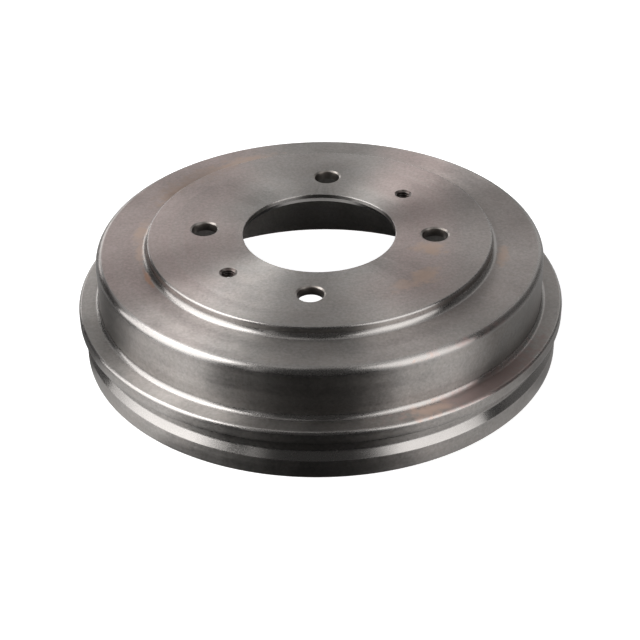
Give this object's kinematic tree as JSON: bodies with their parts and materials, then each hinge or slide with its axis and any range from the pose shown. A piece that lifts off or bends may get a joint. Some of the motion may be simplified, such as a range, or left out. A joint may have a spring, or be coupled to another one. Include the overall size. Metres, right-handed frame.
{
  "type": "brake drum",
  "caption": "Round cast-iron brake drum with a raised hub plate, centre bore, stud holes, tapped jacking holes, a flange ring and a turned groove above its open rim.",
  "frame": {"origin": "on the drum's axis, in the plane of the open rim", "axes": "+Z along the axis from the open rim to the hub face; stud holes lie on the X and Y axes, and the tapped holes lie midway between them at 45 and 225 degrees from +X"},
  "size_m": [0.2426, 0.2426, 0.0588],
  "materials": {
    "turned_iron": "turned bare grey iron with a fine feed pattern, a satin sheen and faint rust bloom"
  },
  "bodies": {
    "root": {"brake_drum": "turned_iron"}
  },
  "joints": []
}
